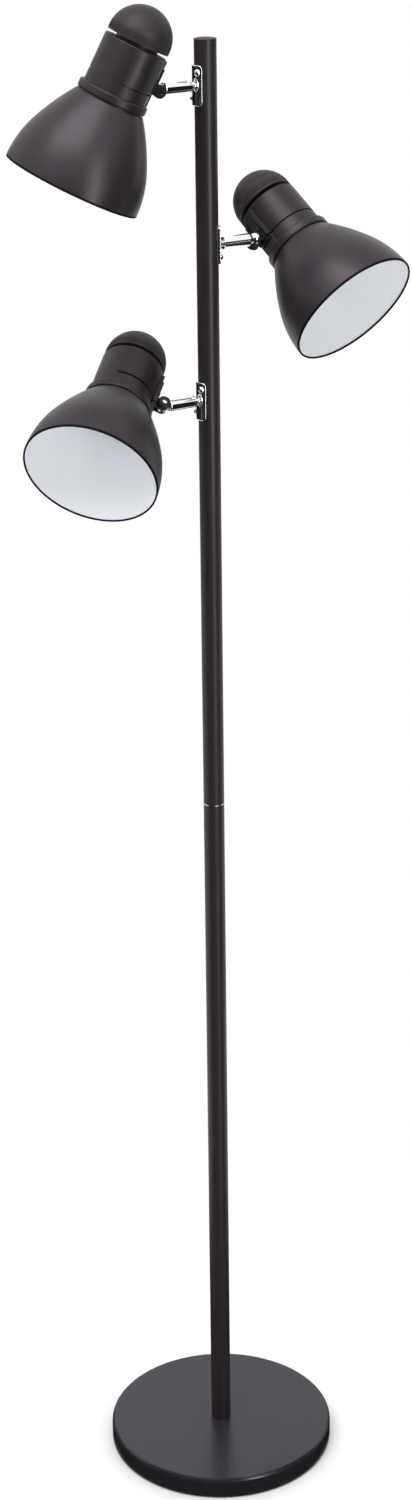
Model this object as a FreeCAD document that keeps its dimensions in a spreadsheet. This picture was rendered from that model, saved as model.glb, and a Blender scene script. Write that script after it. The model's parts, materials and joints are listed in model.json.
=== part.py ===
import FreeCAD, Part
import math
import os
import Sketcher

# Tree floor lamp: a round weighted base, a straight pole in two tubes and three
# reflector heads. Each head hangs on a short horizontal arm that swivels about its
# own length, tilts on a pivot screw, and is switched by a rotary knob on its back.
# Origin: centre of the underside, on the floor. +Z is up. The arms lie along X.

DIMENSIONS = {
    # overall
    "pole_top_height": 1600.0,
    "base_diameter": 254.0,
    "base_height": 24.0,
    # base
    "base_skin": 1.5,
    "base_edge_round": 4.0,
    "floor_pad_thickness": 1.5,
    "floor_pad_inset": 2.5,
    "weight_gap": 0.8,
    "nut_recess_radius": 17.0,
    "nut_recess_depth": 13.0,
    "cord_channel_width": 15.0,
    "cord_channel_depth": 15.0,
    "cord_hole_radius": 4.6,
    "cord_hole_height": 10.0,
    "grommet_bore_radius": 3.3,
    "grommet_flange_radius": 6.5,
    "grommet_flange_thickness": 1.5,
    "grommet_bevel": 0.8,
    # pole
    "pole_radius": 11.1,
    "pole_wall": 1.2,
    "pole_joint_height": 800.0,
    "joint_ring_thickness": 1.2,
    "joint_ring_proud": 0.25,
    "joint_plug_length": 40.0,
    "joint_plug_wall": 3.0,
    "foot_plug_length": 32.0,
    "cap_thickness": 2.6,
    "cap_dome": 1.2,
    "cap_skirt_length": 12.0,
    "cap_skirt_wall": 1.5,
    # stud that clamps the pole to the base
    "base_stud_radius": 5.0,
    "base_stud_bore": 3.0,
    "base_stud_grip": 26.0,
    "base_stud_bevel": 0.6,
    "base_stud_spare": 2.0,
    "base_washer_thickness": 2.0,
    "base_washer_radius": 15.0,
    "base_nut_height": 7.0,
    "base_nut_radius": 9.8,
    # bracket plates on the pole
    "top_arm_drop": 45.0,
    "arm_spacing": 156.5,
    "plate_height": 39.0,
    "plate_thickness": 2.4,
    "plate_half_angle": 46.0,
    "plate_corner_round": 4.0,
    "plate_edge_round": 0.7,
    "plate_screw_angle": 24.0,
    "plate_screw_rise": 12.5,
    "plate_screw_radius": 1.6,
    "plate_screw_head_radius": 3.4,
    "plate_screw_head_height": 2.2,
    "plate_screw_length": 7.0,
    "plate_screw_slot": 0.8,
    # swivel stud
    "wire_hole_radius": 5.4,
    "swivel_flange_radius": 5.0,
    "swivel_flange_thickness": 2.0,
    "swivel_neck_radius": 3.4,
    "swivel_neck_length": 3.6,
    "swivel_journal_radius": 2.6,
    "swivel_bore_radius": 1.4,
    "swivel_nut_radius": 4.7,
    "swivel_nut_height": 4.0,
    "swivel_thread_spare": 1.5,
    # arm
    "sleeve_length": 30.0,
    "pivot_beyond_sleeve": 7.55,
    "sleeve_root_radius": 6.0,
    "sleeve_end_radius": 6.6,
    "sleeve_wall": 0.9,
    "sleeve_root_wall": 3.0,
    "sleeve_collar_radius": 6.5,
    "sleeve_collar_length": 2.0,
    "sleeve_end_round": 1.2,
    "tongue_thickness": 3.0,
    "tongue_eye_radius": 5.6,
    "tongue_shank_length": 9.0,
    "tongue_inset": 0.8,
    "tongue_root": 2.0,
    "tongue_recess": 0.4,
    # pivot
    "pivot_screw_radius": 2.5,
    "pivot_head_radius": 5.0,
    "pivot_head_height": 3.0,
    "pivot_screw_recess": 1.0,
    "thumb_nut_radius": 6.5,
    "thumb_nut_height": 6.5,
    "thumb_nut_flute_radius": 0.8,
    "thumb_nut_flutes": 14.0,
    # head bracket
    "ear_thickness": 2.2,
    "ear_eye_radius": 5.8,
    "bracket_base_thickness": 2.2,
    "bracket_base_height": 19.0,
    "bracket_base_width": 15.0,
    "bracket_web_clearance": 0.5,
    # head: heights are measured along its axis from the underside of the flange
    "block_proud": 0.9,
    "pivot_above_flange": 28.0,
    "flange_proud": 3.4,
    "flange_height": 10.0,
    "flange_round": 1.8,
    "flange_foot_inset": 2.2,
    "flange_foot_height": 1.2,
    "housing_radius": 31.8,
    "housing_wall": 2.5,
    "housing_seam_height": 21.0,
    "housing_height": 58.5,
    "housing_top_round": 1.5,
    "seam_groove": 1.6,
    "seam_lip_height": 5.0,
    "seam_lip_wall": 1.6,
    "block_width": 22.0,
    "block_margin": 2.0,
    "block_root": 2.0,
    "cover_rib_count": 7.0,
    "cover_rib_height": 1.2,
    "cover_rib_pitch": 2.4,
    "cover_rib_proud": 0.6,
    "cover_rib_length": 12.0,
    "side_rib_width": 2.2,
    "side_rib_length": 26.0,
    "side_rib_proud": 1.5,
    "rib_hook_width": 4.5,
    "rib_hook_height": 2.2,
    "closed_seam_start": -20.0,
    "closed_seam_end": 62.0,
    "panel_end": 125.0,
    "panel_height": 19.0,
    "panel_proud": 0.7,
    # shade
    "shade_depth": 88.0,
    "shade_rim_radius": 69.0,
    "shade_neck_inset": 0.6,
    "shade_wall": 1.0,
    "shade_lower_arc": 110.0,
    "shade_lower_height": 45.0,
    "shade_hem_width": 2.0,
    "shade_hem_height": 2.0,
    "shade_hem_bevel": 0.5,
    # lamp holder
    "holder_radius": 19.6,
    "holder_flange_radius": 24.0,
    "holder_flange_height": 3.0,
    "holder_drop": 16.0,
    "holder_height": 26.0,
    "holder_cavity_depth": 30.0,
    "shell_bore_radius": 13.4,
    "shell_wall": 0.6,
    "shell_recess": 1.0,
    "shade_ring_radius": 26.0,
    "shade_ring_height": 6.0,
    "shade_ring_bevel": 2.0,
    # knob
    "knob_inset": 0.3,
    "knob_gap": 3.5,
    "knob_band_height": 5.5,
    "knob_wall": 2.5,
    "knob_dome_fall": 2.0,
    "knob_neck_radius": 21.5,
    "knob_neck_depth": 8.0,
    "neck_clearance": 0.1,
    "knob_rim_height": 1.5,
    "knob_flutes": 88.0,
    "knob_flute_radius": 0.8,
    "knob_flute_depth": 0.7,
    "knob_flute_rise": 6.0,
    "spindle_radius": 3.0,
    "spindle_grip": 6.0,
    "spindle_end_gap": 1.0,
    # clearances
    "shaft_clearance": 0.06,
    "plug_clearance": 0.05,
    "face_gap": 0.3,
    # how far a cut runs past the surface that it opens
    "overrun": 5.0,
}

# Each head: its place on the pole (level 0 is the highest), the side that its arm points
# to (-1 is -X), how far the arm is turned about its own length, and the angle between
# the arm and the light's aim.
HEADS = {
    1: {"level": 0, "side": -1, "swivel": -10.0, "aim": 65.0},
    2: {"level": 1, "side": 1, "swivel": -52.0, "aim": 77.5},
    3: {"level": 2, "side": -1, "swivel": 46.5, "aim": 50.0},
}

doc = FreeCAD.newDocument("tree_floor_lamp")
sheet = doc.addObject("Spreadsheet::Sheet", "Sizes")
for row, (alias, number) in enumerate(DIMENSIONS.items(), start=1):
    sheet.set("A%d" % row, alias)
    sheet.set("B%d" % row, str(number))
    sheet.setAlias("B%d" % row, alias)
for number, head in HEADS.items():
    for key in ("swivel", "aim"):
        row += 1
        sheet.set("A%d" % row, "head_%d_%s" % (number, key))
        sheet.set("B%d" % row, str(head[key]))
        sheet.setAlias("B%d" % row, "head_%d_%s" % (number, key))
doc.recompute()

subparts = []


class Size:
    """A number together with the spreadsheet formula that it comes from."""

    def __init__(self, value, formula):
        self.value = value
        self.formula = formula

    def _with(self, other, sign, value):
        return Size(value, "(%s %s %s)" % (self.formula, sign, other.formula))

    def __add__(self, other):
        other = as_size(other)
        return self._with(other, "+", self.value + other.value)

    def __radd__(self, other):
        return as_size(other) + self

    def __sub__(self, other):
        other = as_size(other)
        return self._with(other, "-", self.value - other.value)

    def __rsub__(self, other):
        return as_size(other) - self

    def __mul__(self, other):
        other = as_size(other)
        return self._with(other, "*", self.value * other.value)

    def __rmul__(self, other):
        return as_size(other) * self

    def __truediv__(self, other):
        other = as_size(other)
        return self._with(other, "/", self.value / other.value)

    def __neg__(self):
        return Size(-self.value, "(-1 * %s)" % self.formula)


def as_size(number):
    return number if isinstance(number, Size) else Size(float(number), "(%.6g)" % number)


def size(alias):
    return Size(float(getattr(sheet, alias)), "Sizes.%s" % alias)


def root_of(number):
    return Size(math.sqrt(number.value), "sqrt(%s)" % number.formula)


def sine(angle):
    return Size(math.sin(math.radians(angle.value)), "sin(%s)" % angle.formula)


def cosine(angle):
    return Size(math.cos(math.radians(angle.value)), "cos(%s)" % angle.formula)


# ---------------------------------------------------------------- sketch helpers

def new_body(label, placement=None):
    body = doc.addObject("PartDesign::Body", label)
    body.Label = label
    if placement is not None:
        body.Placement = placement
    subparts.append(body)
    return body


def new_sketch(body, name, plane, offset=None):
    sketch = body.newObject("Sketcher::SketchObject", name)
    support = [item for item in body.Origin.OriginFeatures if item.Role == plane][0]
    sketch.AttachmentSupport = [(support, "")]
    sketch.MapMode = "FlatFace"
    if offset is not None:
        sketch.setExpression(".AttachmentOffset.Base.z", offset.formula)
    return sketch


def constrain(sketch, kind, references, length):
    length = as_size(length)
    index = sketch.addConstraint(Sketcher.Constraint(kind, *references, length.value))
    sketch.setExpression("Constraints[%d]" % index, length.formula)


def place_point(sketch, edge, end, point):
    """Ties one end of an edge to its distances from the sketch's origin."""
    for kind, axis, length in (("DistanceX", -2, point[0]), ("DistanceY", -1, point[1])):
        length = as_size(length)
        if length.value == 0.0:
            sketch.addConstraint(Sketcher.Constraint("PointOnObject", edge, end, axis))
        else:
            constrain(sketch, kind, (-1, 1, edge, end), length)


def arc_between(start, finish, radius, turn):
    """Minor arc from start to finish; turn 1 has its centre on the left, -1 on the right."""
    chord = finish - start
    reach = math.sqrt(radius ** 2 - (chord.Length / 2) ** 2)
    left = FreeCAD.Vector(-chord.y, chord.x, 0).normalize()
    centre = (start + finish) / 2 + left * (reach * turn)
    first, last = (start, finish) if turn > 0 else (finish, start)
    angles = [math.atan2(point.y - centre.y, point.x - centre.x) for point in (first, last)]
    if angles[1] < angles[0]:
        angles[1] += 2 * math.pi
    circle = Part.Circle(centre, FreeCAD.Vector(0, 0, 1), radius)
    return Part.ArcOfCircle(circle, angles[0], angles[1])


def draw_outline(sketch, outline):
    """Closed outline. A point is (across, up), or (across, up, radius, turn) before an arc."""
    points = [FreeCAD.Vector(as_size(p[0]).value, as_size(p[1]).value, 0) for p in outline]
    count = len(outline)
    ends = []
    for number, point in enumerate(outline):
        start, finish = points[number], points[(number + 1) % count]
        if len(point) == 2:
            edge = sketch.addGeometry(Part.LineSegment(start, finish), False)
            ends.append((edge, 1, 2))
        else:
            radius = as_size(point[2])
            edge = sketch.addGeometry(arc_between(start, finish, radius.value, point[3]), False)
            constrain(sketch, "Radius", (edge,), radius)
            ends.append((edge, 1, 2) if point[3] > 0 else (edge, 2, 1))
    for number, point in enumerate(outline):
        edge, start, finish = ends[number]
        next_edge, next_start, next_finish = ends[(number + 1) % count]
        sketch.addConstraint(Sketcher.Constraint("Coincident", edge, finish, next_edge, next_start))
        place_point(sketch, edge, start, point)


def draw_circle(sketch, centre, radius):
    radius = as_size(radius)
    middle = FreeCAD.Vector(as_size(centre[0]).value, as_size(centre[1]).value, 0)
    circle = sketch.addGeometry(Part.Circle(middle, FreeCAD.Vector(0, 0, 1), radius.value), False)
    constrain(sketch, "Radius", (circle,), radius)
    if as_size(centre[0]).value == 0.0 and as_size(centre[1]).value == 0.0:
        sketch.addConstraint(Sketcher.Constraint("Coincident", circle, 3, -1, 1))
    else:
        place_point(sketch, circle, 3, centre)


def draw_rectangle(sketch, low, high):
    draw_outline(sketch, [low, (high[0], low[1]), high, (low[0], high[1])])


def revolve(body, name, outline):
    """Turns an outline of (radius, height) points once round the body's Z axis."""
    sketch = new_sketch(body, name + "_outline", "XZ_Plane")
    draw_outline(sketch, outline)
    turned = body.newObject("PartDesign::Revolution", name)
    turned.Profile = (sketch, [""])
    turned.ReferenceAxis = (sketch, ["V_Axis"])
    turned.Angle = 360.0
    return turned


def extrude(body, kind, name, sketch, length, midplane=False, reversed_way=False):
    feature = body.newObject("PartDesign::" + kind, name)
    feature.Profile = (sketch, [""])
    feature.setExpression("Length", as_size(length).formula)
    feature.Midplane = midplane
    feature.Reversed = reversed_way
    return feature


def pad(body, name, sketch, length, **options):
    return extrude(body, "Pad", name, sketch, length, **options)


def pocket(body, name, sketch, length, **options):
    """Cuts with a sketch, and makes sure that the cut removes material."""
    doc.recompute()
    before = body.Shape.Volume
    feature = extrude(body, "Pocket", name, sketch, length, **options)
    doc.recompute()
    if body.Shape.Volume > before - 1e-3:
        raise ValueError("%s in %s cuts nothing" % (name, body.Label))
    return feature


def repeat_round(body, name, feature, count):
    pattern = body.newObject("PartDesign::PolarPattern", name)
    pattern.Originals = [feature]
    pattern.Axis = (body.Origin.OriginFeatures[2], [""])
    pattern.Angle = 360.0
    pattern.setExpression("Occurrences", count.formula)
    body.Tip = pattern
    return pattern


def round_edges(body, name, radius, wanted):
    """Fillets the edges of the body's present shape that the test picks."""
    doc.recompute()
    base = body.Tip
    names = [
        "Edge%d" % number
        for number, edge in enumerate(base.Shape.Edges, start=1)
        if wanted(edge)
    ]
    if not names:
        raise ValueError("%s in %s finds no edge" % (name, body.Label))
    fillet = body.newObject("PartDesign::Fillet", name)
    fillet.Base = (base, names)
    fillet.setExpression("Radius", radius.formula)
    return fillet


def primitive(kind, name, lengths, placement=None):
    solid = doc.addObject("Part::" + kind, name)
    for key, length in lengths.items():
        solid.setExpression(key, as_size(length).formula)
    if placement is not None:
        solid.Placement = placement
    return solid


def subtract(label, base, tool, placement=None):
    cut = doc.addObject("Part::Cut", label)
    cut.Base = base
    cut.Tool = tool
    cut.Label = label
    if placement is not None:
        cut.Placement = placement
    subparts.append(cut)
    return cut


def shift(x=0.0, y=0.0, z=0.0):
    return FreeCAD.Placement(FreeCAD.Vector(x, y, z), FreeCAD.Rotation())


def turn(axis, degrees):
    return FreeCAD.Placement(FreeCAD.Vector(), FreeCAD.Rotation(FreeCAD.Vector(*axis), degrees))


TO_X = turn((0, 1, 0), 90)
TO_Y = turn((1, 0, 0), -90)


# ---------------------------------------------------------------- sizes used by many pieces

pole_radius = size("pole_radius")
pole_bore = pole_radius - size("pole_wall")
pole_plug = pole_bore - size("plug_clearance")
base_radius = size("base_diameter") / 2
base_top = size("base_height")
pad_top = size("floor_pad_thickness")
skin = size("base_skin")
stud_radius = size("base_stud_radius")
stud_hole = stud_radius + size("shaft_clearance") * 3
recess_top = pad_top + size("nut_recess_depth")
joint_height = size("pole_joint_height")
ring_thickness = size("joint_ring_thickness")
cap_base = size("pole_top_height") - size("cap_thickness")
shaft_clearance = size("shaft_clearance")
face_gap = size("face_gap")
overrun = size("overrun")

# along an arm, from the pole's axis
plate_face = pole_radius + size("plug_clearance") + size("plate_thickness")
neck_end = plate_face + size("swivel_neck_length")
sleeve_start = neck_end + face_gap
sleeve_end = sleeve_start + size("sleeve_length")
nut_start = sleeve_start + size("sleeve_root_wall") + face_gap
stud_end = nut_start + size("swivel_nut_height") + size("swivel_thread_spare")
pivot_reach = sleeve_end + size("pivot_beyond_sleeve")
tongue_start = sleeve_end - size("tongue_shank_length")

# across the pivot, from the middle of the tongue
ear_inside = size("tongue_thickness") / 2 + face_gap
ear_outside = ear_inside + size("ear_thickness")

# along a head's axis, from the underside of its flange
block_face = size("housing_radius") + size("block_proud")
axis_offset = block_face + (
    size("ear_eye_radius") + size("bracket_base_thickness")
    + size("bracket_web_clearance") + face_gap
)
flange_radius = size("housing_radius") + size("flange_proud")
cover_start = size("housing_seam_height") + size("seam_groove")
housing_top = size("housing_height")
housing_bore = size("housing_radius") - size("housing_wall")
knob_start = housing_top + size("knob_gap")
holder_hole = size("holder_radius") + size("plug_clearance") * 4
neck_hole = size("knob_neck_radius") + size("neck_clearance")


# ---------------------------------------------------------------- base

def make_base_shell():
    """Spun steel cover, open underneath, with the pole stud's hole in its top."""
    body = new_body("base_shell")
    edge = size("base_edge_round")
    inner_edge = edge - skin
    revolve(body, "cover", [
        (base_radius, pad_top),
        (base_radius, base_top - edge, edge, 1),
        (base_radius - edge, base_top),
        (stud_hole, base_top),
        (stud_hole, base_top - skin),
        (base_radius - edge, base_top - skin, inner_edge, -1),
        (base_radius - skin, base_top - edge),
        (base_radius - skin, pad_top),
    ])
    sketch = new_sketch(body, "cord_hole_outline", "XZ_Plane")
    draw_circle(sketch, (0, size("cord_hole_height")), size("cord_hole_radius"))
    pocket(body, "cord_hole", sketch, base_radius + overrun)


def make_base_weight():
    """Cast iron disc that fills the cover, with a nut recess and a cord channel below."""
    body = new_body("base_weight")
    radius = base_radius - skin - size("weight_gap")
    top = base_top - skin
    edge = size("base_edge_round")
    revolve(body, "casting", [
        (size("nut_recess_radius"), pad_top),
        (radius, pad_top),
        (radius, top - edge),
        (radius - edge, top),
        (stud_hole, top),
        (stud_hole, recess_top),
        (size("nut_recess_radius"), recess_top),
    ])
    sketch = new_sketch(body, "channel_outline", "XZ_Plane")
    half = size("cord_channel_width") / 2
    draw_rectangle(sketch, (-half, pad_top - overrun), (half, pad_top + size("cord_channel_depth")))
    pocket(body, "cord_channel", sketch, base_radius + overrun)


def make_floor_pad():
    """Flat pad under the weight, the face that the lamp stands on."""
    body = new_body("floor_pad")
    radius = base_radius - size("floor_pad_inset")
    revolve(body, "disc", [(0, 0), (radius, 0), (radius, pad_top), (0, pad_top)])


def make_base_stud():
    """Hollow threaded stud from the nut recess up into the pole's foot plug."""
    body = new_body("base_stud")
    nut_low = recess_top - size("base_washer_thickness") - size("base_nut_height")
    low = nut_low - size("base_stud_spare")
    high = base_top + size("base_stud_grip")
    bore = size("base_stud_bore")
    bevel = size("base_stud_bevel")
    revolve(body, "stud", [
        (bore, low), (stud_radius - bevel, low), (stud_radius, low + bevel),
        (stud_radius, high - bevel), (stud_radius - bevel, high), (bore, high),
    ])


def make_base_washer():
    body = new_body("base_washer")
    low = recess_top - size("base_washer_thickness")
    radius = size("base_washer_radius")
    revolve(body, "washer", [
        (stud_hole, low), (radius, low), (radius, recess_top), (stud_hole, recess_top),
    ])


def make_base_nut():
    """Hexagonal nut on the base stud."""
    height = size("base_nut_height")
    low = recess_top - size("base_washer_thickness") - height
    prism = primitive("Prism", "base_nut_hexagon", {
        "Circumradius": size("base_nut_radius"), "Height": height,
    })
    bore = primitive("Cylinder", "base_nut_bore", {
        "Radius": stud_radius + size("plug_clearance"), "Height": height,
    })
    subtract("base_nut", prism, bore, shift(z=low.value))


def make_cord_grommet():
    """Rubber bush in the cover's rear side, where the supply cord would enter."""
    body = new_body("cord_grommet")
    bore = size("grommet_bore_radius")
    groove = size("cord_hole_radius") - size("plug_clearance")
    flange = size("grommet_flange_radius")
    thick = size("grommet_flange_thickness")
    # the flanges are flat and the side is round, so the inner one stands further in
    inner_face = root_of((base_radius - skin) * (base_radius - skin) - flange * flange)
    inner = inner_face - base_radius - size("plug_clearance")
    outer = size("plug_clearance")
    revolve(body, "bush", [
        (bore, inner - thick),
        (flange, inner - thick),
        (flange, inner),
        (groove, inner),
        (groove, outer),
        (flange, outer),
        (flange - size("grommet_bevel"), outer + thick),
        (bore, outer + thick),
    ])
    body.Placement = shift(y=base_radius.value, z=size("cord_hole_height").value) * TO_Y


# ---------------------------------------------------------------- pole

def make_tube(label, low, high):
    body = new_body(label)
    revolve(body, "tube", [
        (pole_bore, low), (pole_radius, low), (pole_radius, high), (pole_bore, high),
    ])
    return body


def make_pole_tubes():
    make_tube("pole_lower_tube", base_top, joint_height)
    upper = make_tube("pole_upper_tube", joint_height + ring_thickness, cap_base)
    # wire holes behind the bracket plates
    for number, head in HEADS.items():
        height = arm_height(head)
        sketch = new_sketch(upper, "wire_hole_%d_outline" % number, "YZ_Plane")
        draw_circle(sketch, (0, height), size("wire_hole_radius"))
        pocket(upper, "wire_hole_%d" % number, sketch, pole_radius + overrun,
               reversed_way=head["side"] > 0)
        cut_screw_holes(upper, number, head, height)


def cut_screw_holes(body, number, head, height):
    """Two radial holes for the plate screws, up on one side and down on the other."""
    for way in (-1, 1):
        hole = body.newObject("PartDesign::SubtractiveCylinder", "screw_hole_%d_%d" % (number, way + 2))
        hole.setExpression("Radius", (size("plate_screw_radius") + size("plug_clearance")).formula)
        hole.setExpression("Height", (pole_radius + overrun).formula)
        hole.Placement = screw_placement(head["side"], way, height.value, 0.0)


def screw_placement(side, way, height, reach):
    """Frame of a plate screw: its Z axis points outward through the screw."""
    facing = turn((0, 0, 1), 0 if side > 0 else 180)
    about = turn((0, 0, 1), -way * size("plate_screw_angle").value)
    rise = -way * size("plate_screw_rise").value
    return shift(z=height + rise) * facing * about * shift(x=reach) * TO_X


def make_pole_joint():
    """Spigot that joins the two tubes; its ring shows as a bright line between them."""
    body = new_body("pole_joint")
    low = joint_height - size("joint_plug_length")
    high = joint_height + ring_thickness + size("joint_plug_length")
    bore = pole_plug - size("joint_plug_wall")
    ring = pole_radius + size("joint_ring_proud")
    revolve(body, "spigot", [
        (bore, low), (pole_plug, low), (pole_plug, joint_height), (ring, joint_height),
        (ring, joint_height + ring_thickness), (pole_plug, joint_height + ring_thickness),
        (pole_plug, high), (bore, high),
    ])


def make_pole_foot():
    """Plug pressed into the foot of the lower tube, threaded for the base stud."""
    body = new_body("pole_foot_plug")
    bore = stud_radius + size("plug_clearance")
    high = base_top + size("foot_plug_length")
    revolve(body, "plug", [(bore, base_top), (pole_plug, base_top), (pole_plug, high), (bore, high)])


def make_pole_cap():
    """Slightly domed cap with a skirt inside the upper tube."""
    body = new_body("pole_top_cap")
    top = size("pole_top_height")
    shoulder = top - size("cap_dome")
    dome = size("cap_dome")
    dome_radius = (pole_radius * pole_radius + dome * dome) / (dome * 2)
    skirt_low = cap_base - size("cap_skirt_length")
    skirt_bore = pole_plug - size("cap_skirt_wall")
    revolve(body, "cap", [
        (0, cap_base), (skirt_bore, cap_base), (skirt_bore, skirt_low), (pole_plug, skirt_low),
        (pole_plug, cap_base), (pole_radius, cap_base),
        (pole_radius, shoulder, dome_radius, 1), (0, top),
    ])


# ---------------------------------------------------------------- brackets and arms

def arm_height(head):
    """Height of an arm. Level 0 is the highest one."""
    return size("pole_top_height") - size("top_arm_drop") - size("arm_spacing") * head["level"]


def bracket_frame(head):
    """Frame on the pole's axis at the arm, X along the arm."""
    return shift(z=arm_height(head).value) * turn((0, 0, 1), 0 if head["side"] > 0 else 180)


def arm_frame(number, head):
    """The bracket's frame turned about the arm, so that Y lies along the pivot screw."""
    return bracket_frame(head) * turn((1, 0, 0), size("head_%d_swivel" % number).value)


def head_frame(number, head):
    """Frame at the pivot: Y along its screw, Z along the head's axis towards the knob."""
    aim = size("head_%d_aim" % number).value
    return arm_frame(number, head) * shift(x=pivot_reach.value) * turn((0, 1, 0), aim - 90)


def axis_frame(number, head):
    """Frame on the head's axis, at the underside of the flange."""
    offset = shift(x=axis_offset.value, z=-size("pivot_above_flange").value)
    return head_frame(number, head) * offset


def make_bracket_plate(number, head):
    """Chrome saddle plate that wraps part of the pole and carries the swivel stud."""
    body = new_body("bracket_plate_%d" % number, bracket_frame(head))
    inner = pole_radius + size("plug_clearance")
    half = size("plate_half_angle")
    sketch = new_sketch(body, "saddle_outline", "XY_Plane")
    along, across = cosine(half), sine(half)
    draw_outline(sketch, [
        (plate_face * along, -plate_face * across, plate_face, 1),
        (plate_face * along, plate_face * across),
        (inner * along, inner * across, inner, -1),
        (inner * along, -inner * across),
    ])
    pad(body, "saddle", sketch, size("plate_height"), midplane=True)

    def is_corner(edge):
        flat = abs(edge.tangentAt(edge.FirstParameter).z) < 1e-6
        return flat and edge.Length < size("plate_thickness").value * 1.05

    round_edges(body, "corner_rounds", size("plate_corner_round"), is_corner)

    def is_front_edge(edge):
        box = edge.BoundBox
        middle = edge.valueAt((edge.FirstParameter + edge.LastParameter) / 2)
        reach = math.hypot(middle.x, middle.y)
        return abs(reach - plate_face.value) < 1e-3 and box.DiagonalLength > 1.0

    round_edges(body, "front_rounds", size("plate_edge_round"), is_front_edge)
    sketch = new_sketch(body, "neck_hole_outline", "YZ_Plane")
    draw_circle(sketch, (0, 0), size("swivel_neck_radius") + shaft_clearance)
    pocket(body, "neck_hole", sketch, plate_face + overrun, reversed_way=True)
    for way in (-1, 1):
        hole = body.newObject("PartDesign::SubtractiveCylinder", "screw_hole_%d" % (way + 2))
        hole.setExpression("Radius", (size("plate_screw_radius") + size("plug_clearance")).formula)
        hole.setExpression("Height", (plate_face + overrun).formula)
        hole.Placement = screw_placement(1, way, 0.0, 0.0)


def make_plate_screws():
    """The pan-head screws of all the bracket plates, one solid each."""
    tip = plate_face - size("plate_screw_length")
    screws = []
    for number, head in HEADS.items():
        for way in (-1, 1):
            screws.append(plate_screw_shape(head["side"], way, arm_height(head).value, tip))
    group = doc.addObject("Part::Feature", "plate_screws")
    group.Label = "plate_screws"
    group.Shape = Part.makeCompound(screws)
    subparts.append(group)


def plate_screw_shape(side, way, height, tip):
    radius = size("plate_screw_radius").value
    head_radius = size("plate_screw_head_radius").value
    head_height = size("plate_screw_head_height").value
    # the flat underside of the head rests on the round plate along its middle
    seat = plate_face.value + size("plug_clearance").value
    shank = Part.makeCylinder(radius, seat + head_height / 2 - tip.value)
    shank.translate(FreeCAD.Vector(0, 0, tip.value))
    dome_radius = (head_radius ** 2 + head_height ** 2) / (2 * head_height)
    ball = Part.makeSphere(dome_radius, FreeCAD.Vector(0, 0, seat + head_height - dome_radius))
    slab = Part.makeCylinder(head_radius, head_height, FreeCAD.Vector(0, 0, seat))
    # a cross recess, as deep as it is wide
    wide = size("plate_screw_slot").value
    slot = Part.makeBox(head_radius, wide, wide * 2)
    slot.translate(FreeCAD.Vector(-head_radius / 2, -wide / 2, seat + head_height - wide))
    crossed = slot.copy()
    crossed.rotate(FreeCAD.Vector(0, 0, 0), FreeCAD.Vector(0, 0, 1), 90)
    screw = slab.common(ball).fuse(shank).removeSplitter()
    screw = screw.cut(slot).cut(crossed)
    screw = screw.Solids[0]
    screw.Placement = screw_placement(side, way, height, 0.0)
    return screw


def make_swivel_stud(number, head):
    """Hollow stud: its flange sits inside the pole and its journal carries the sleeve."""
    body = new_body("swivel_stud_%d" % number, bracket_frame(head) * TO_X)
    flange = size("swivel_flange_radius")
    inner = pole_radius + size("plug_clearance")
    # the flange touches the round inside of the plate at its own edge
    seat = root_of(inner * inner - flange * flange) - size("plug_clearance")
    start = seat - size("swivel_flange_thickness")
    neck = size("swivel_neck_radius")
    journal = size("swivel_journal_radius")
    bore = size("swivel_bore_radius")
    revolve(body, "stud", [
        (bore, start), (flange, start), (flange, seat), (neck, seat), (neck, neck_end),
        (journal, neck_end), (journal, stud_end), (bore, stud_end),
    ])


def make_swivel_nut(number, head):
    """Lock nut that holds the sleeve on the journal, inside the sleeve."""
    prism = primitive("Prism", "swivel_nut_hexagon_%d" % number, {
        "Circumradius": size("swivel_nut_radius"), "Height": size("swivel_nut_height"),
    })
    bore = primitive("Cylinder", "swivel_nut_bore_%d" % number, {
        "Radius": size("swivel_journal_radius") + size("plug_clearance"),
        "Height": size("swivel_nut_height"),
    })
    frame = bracket_frame(head) * shift(x=nut_start.value) * TO_X
    subtract("swivel_nut_%d" % number, prism, bore, frame)


def make_arm_sleeve(number, head):
    """Chrome sleeve, slightly wider towards the head, with a collar at its root."""
    body = new_body("arm_sleeve_%d" % number, arm_frame(number, head) * TO_X)
    hole = size("swivel_journal_radius") + shaft_clearance
    bore = size("sleeve_root_radius") - size("sleeve_wall")
    collar = size("sleeve_collar_radius")
    collar_end = sleeve_start + size("sleeve_collar_length")
    lead = size("sleeve_collar_length") / 4
    tip = size("sleeve_end_radius")
    tip_round = size("sleeve_end_round")
    inside = sleeve_start + size("sleeve_root_wall")
    revolve(body, "sleeve", [
        (hole, sleeve_start),
        (collar - lead, sleeve_start),
        (collar, sleeve_start + lead),
        (collar, collar_end - lead),
        (size("sleeve_root_radius"), collar_end),
        (tip, sleeve_end - tip_round, tip_round, 1),
        (tip - tip_round, sleeve_end),
        (bore, sleeve_end),
        (bore, inside),
        (hole, inside),
    ])


def make_arm_tongue(number, head):
    """Round shank fixed in the sleeve and a flat eye on the pivot screw."""
    body = new_body("arm_tongue_%d" % number, arm_frame(number, head))
    eye = size("tongue_eye_radius")
    shank = size("sleeve_root_radius") - size("sleeve_wall") - size("plug_clearance")
    root = sleeve_end - size("tongue_root")
    half = shank - size("tongue_inset")
    sketch = new_sketch(body, "eye_outline", "XZ_Plane")
    meet = pivot_reach - root_of(eye * eye - half * half)
    draw_outline(sketch, [
        (root, half), (root, -half), (meet, -half, eye, 1), (pivot_reach + eye, 0, eye, 1),
        (meet, half),
    ])
    draw_circle(sketch, (pivot_reach, 0), size("pivot_screw_radius") + shaft_clearance)
    pad(body, "eye", sketch, size("tongue_thickness"), midplane=True)
    sketch = new_sketch(body, "shank_outline", "YZ_Plane", offset=tongue_start)
    draw_circle(sketch, (0, 0), shank)
    pad(body, "shank", sketch, sleeve_end - tongue_start - size("tongue_recess"))


# ---------------------------------------------------------------- pivot

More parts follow.
